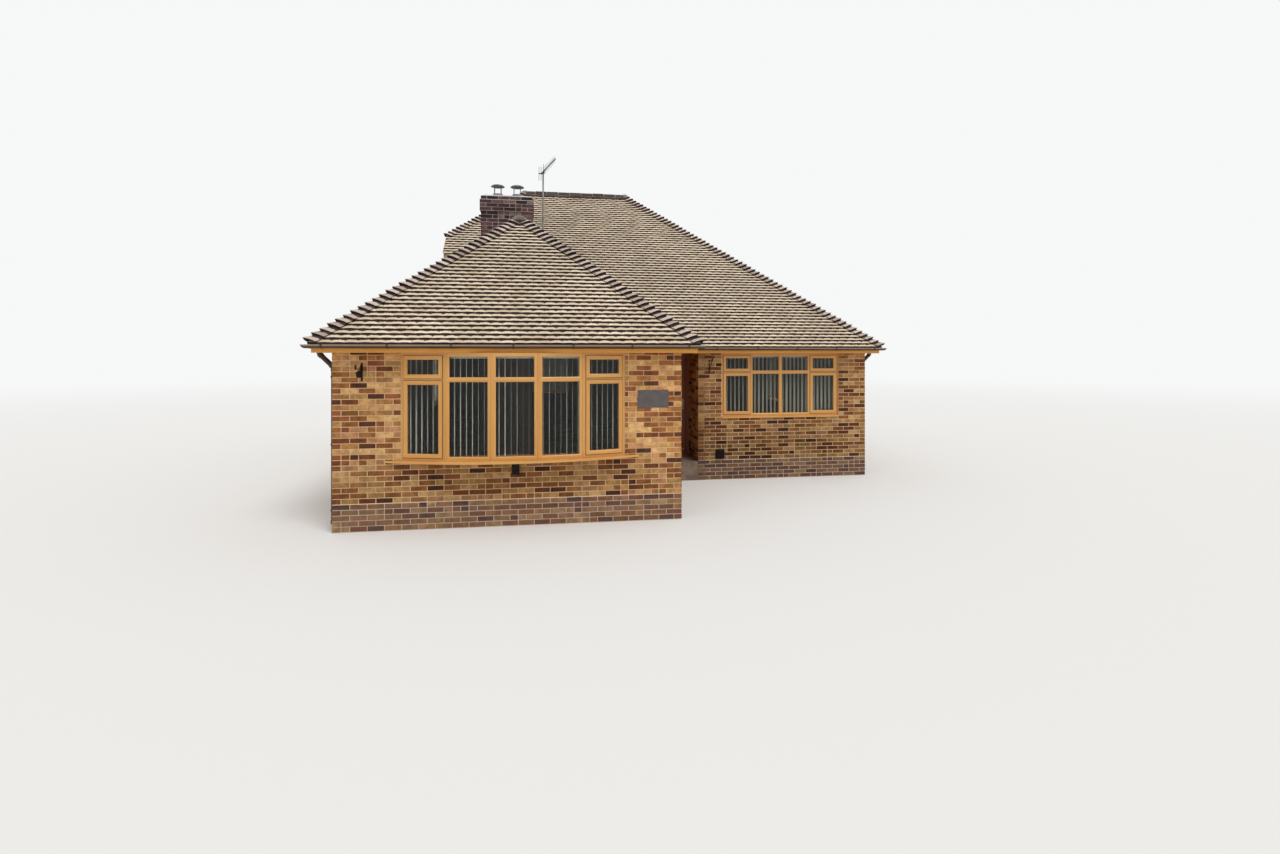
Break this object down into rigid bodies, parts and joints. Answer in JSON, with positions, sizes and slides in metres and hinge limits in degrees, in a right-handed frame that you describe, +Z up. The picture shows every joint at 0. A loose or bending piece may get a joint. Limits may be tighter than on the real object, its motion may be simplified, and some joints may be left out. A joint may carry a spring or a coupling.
{
  "type": "bungalow",
  "caption": "L-shaped brick bungalow with a hipped plain-tiled roof, a bow window in its front wing, a recessed porch with a hinged door, a half-hipped dormer and a chimney.",
  "frame": {"origin": "on the level the house rests on, under the middle of the rectangle of its outer walls", "axes": "+X to the right along the front, +Y from the front to the rear, +Z up"},
  "size_m": [9.8086, 11.9843, 6.5267],
  "materials": {
    "brick": "rough multi-stock facing brick with pale mortar",
    "chimney_brick": "dark red-brown weathered brick",
    "plain_tile": "weathered brown plain tiles",
    "ridge_tile": "weathered brown half-round ridge tiles",
    "concrete": "plain grey concrete and mortar",
    "timber_floor": "sawn softwood",
    "render": "beige painted render",
    "golden_oak": "golden oak woodgrain foil, satin",
    "brown_plastic": "dark brown rainwater plastic",
    "glass": "clear sealed double glazing",
    "black_iron": "black painted metal",
    "brown_door": "dark brown stained timber",
    "brass": "polished brass",
    "cowl_metal": "weathered galvanised steel",
    "aerial_metal": "weathered aluminium tube",
    "slate": "bare dark slate"
  },
  "bodies": {
    "house": {"wing_front_wall": "brick", "wing_right_wall": "brick", "left_wall": "brick", "porch_return_wall": "brick", "door_lintel": "brick", "main_front_wall": "brick", "right_wall": "brick", "rear_wall": "brick", "chimney_stack": "chimney_brick", "wing_front_slope": "plain_tile", "wing_right_slope": "plain_tile", "left_front_slope": "plain_tile", "left_foot_slope": "plain_tile", "left_rear_slope": "plain_tile", "main_front_slope": "plain_tile", "rear_slope": "plain_tile", "right_slope": "plain_tile", "dormer_half_hip": "plain_tile", "ridge_tiles": "ridge_tile", "ground_floor": "concrete", "door_step": "concrete", "window_sills": "concrete", "chimney_flaunching": "concrete", "loft_floor": "timber_floor", "dormer_gable_wall": "render", "dormer_cheeks": "render", "fascia": "golden_oak", "soffit": "golden_oak", "bow_frame": "golden_oak", "bow_sashes": "golden_oak", "bow_sill": "golden_oak", "main_window_frame": "golden_oak", "main_window_sashes": "golden_oak", "other_window_frames": "golden_oak", "other_window_sashes": "golden_oak", "gutter": "brown_plastic", "gutter_brackets": "brown_plastic", "downpipes": "brown_plastic", "bow_glass": "glass", "main_window_glass": "glass", "other_window_glass": "glass", "bow_bracket": "black_iron", "wall_lantern": "black_iron", "basket_bracket": "black_iron", "wall_vent": "black_iron", "door_frame": "brown_door", "jamb_hinges": "brass", "chimney_cowls": "cowl_metal", "aerial_mast": "aerial_metal", "aerial_head": "aerial_metal", "name_plate": "slate"},
    "door": {"front_door": "brown_door", "leaf_hinges": "brass", "door_furniture": "brass"}
  },
  "joints": [
    {"name": "front_door_hinge", "type": "hinge", "parent": "house", "child": "door", "pos_m": [0.276, -2.058, 1.4], "axis": [0, 0, 1], "range_deg": [0, 90]}
  ]
}
